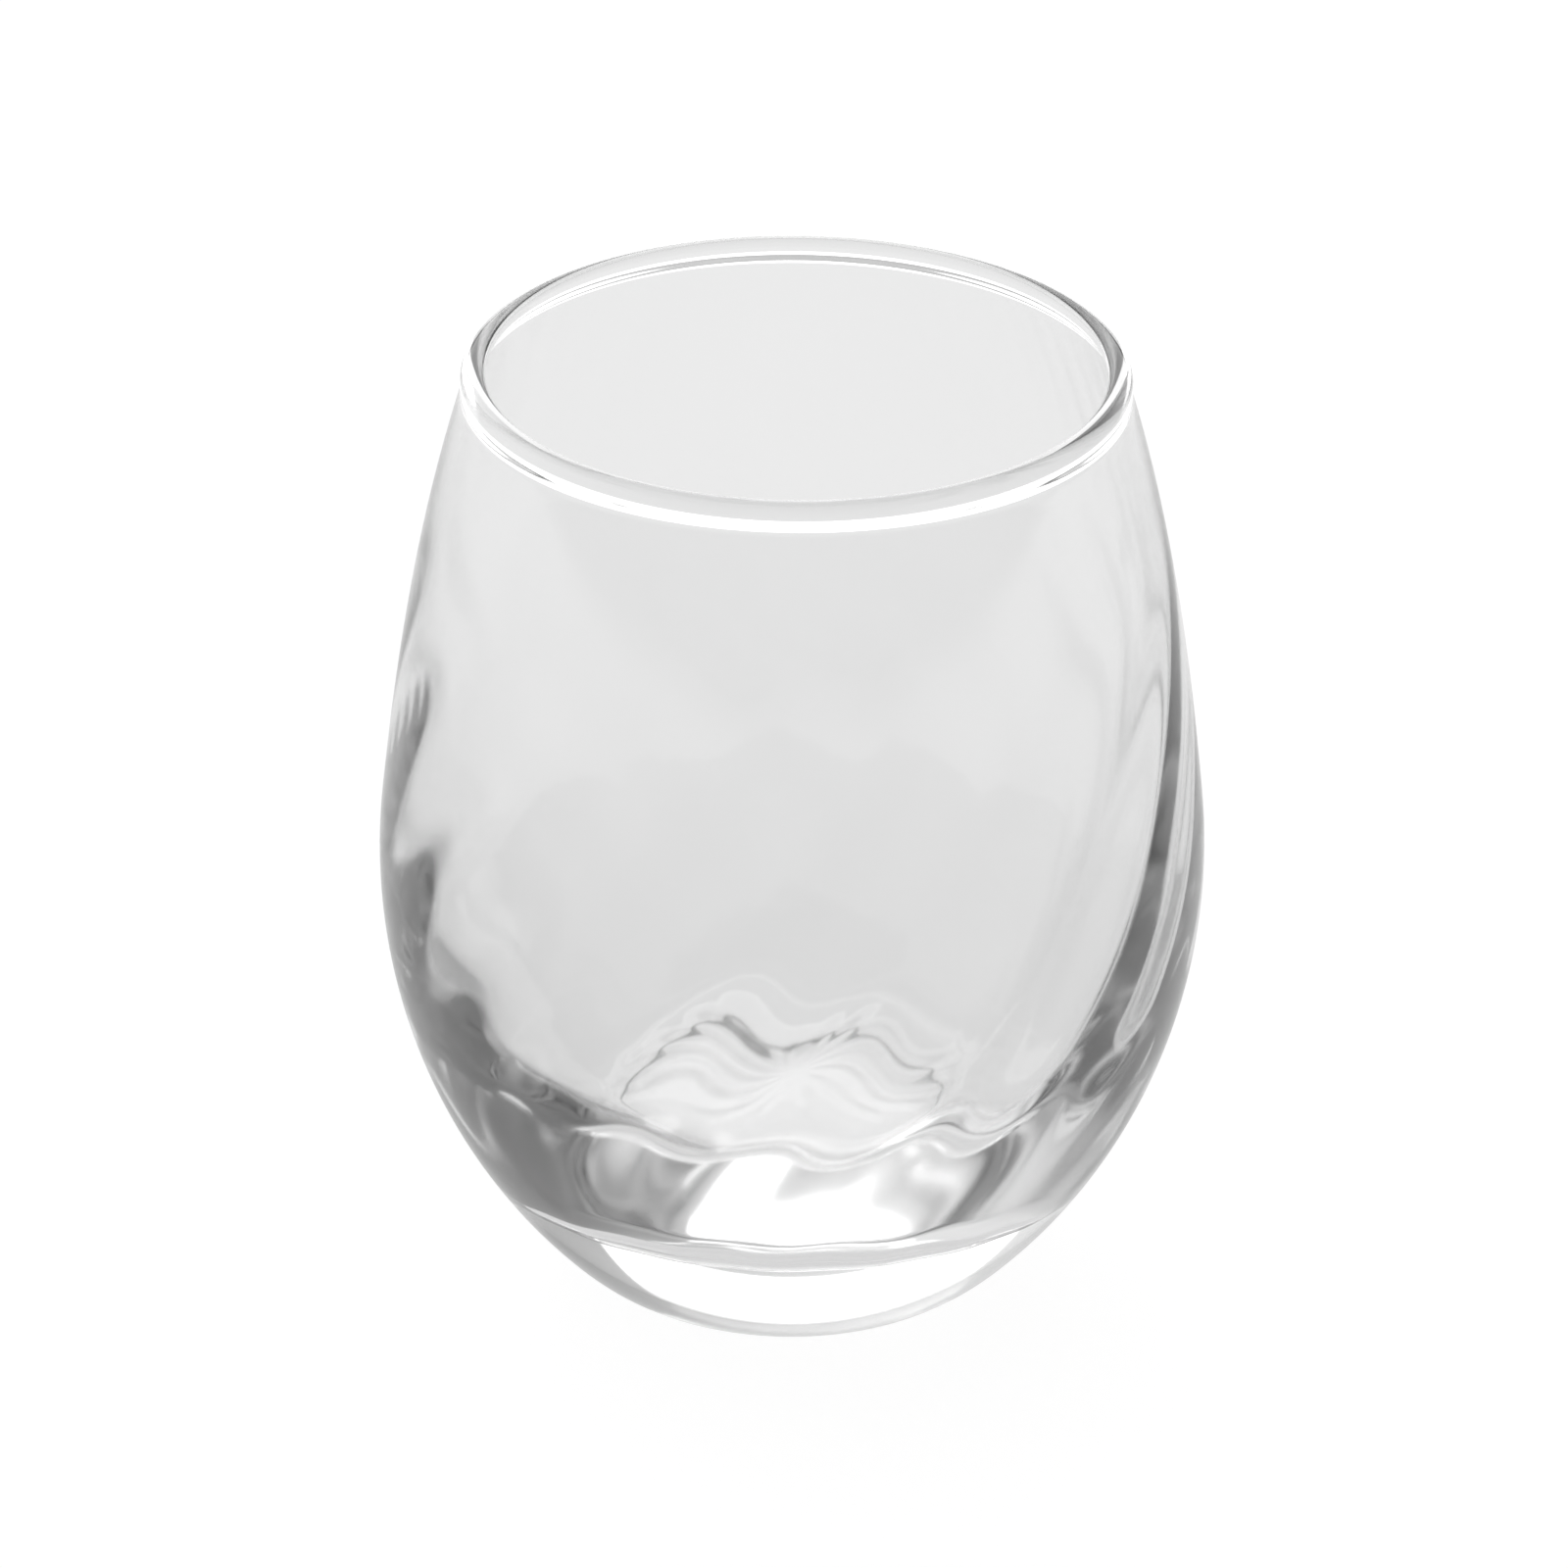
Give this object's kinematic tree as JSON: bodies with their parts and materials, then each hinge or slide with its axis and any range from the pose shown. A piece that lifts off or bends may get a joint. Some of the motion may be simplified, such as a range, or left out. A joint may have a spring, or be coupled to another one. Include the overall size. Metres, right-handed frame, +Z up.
{
  "type": "water glass",
  "caption": "Stemless egg-shaped water glass of clear glass, with a heavy base, soft twisted flutes inside the wall and a rounded fire-polished rim.",
  "frame": {"origin": "middle of the ring that the glass stands on, at the height of the table", "axes": "+Z up along the axis of the glass, +Y away from the picture's viewer, +X to the viewer's right"},
  "size_m": [0.088, 0.088, 0.1047],
  "materials": {
    "clear_glass": "clear colourless glass, fire-polished, slightly wavy inside"
  },
  "bodies": {
    "root": {"foot_ring": "clear_glass", "heavy_base": "clear_glass", "heel": "clear_glass", "bowl": "clear_glass", "shoulder": "clear_glass", "neck": "clear_glass", "lip_band": "clear_glass", "rim_bead": "clear_glass"}
  },
  "joints": []
}
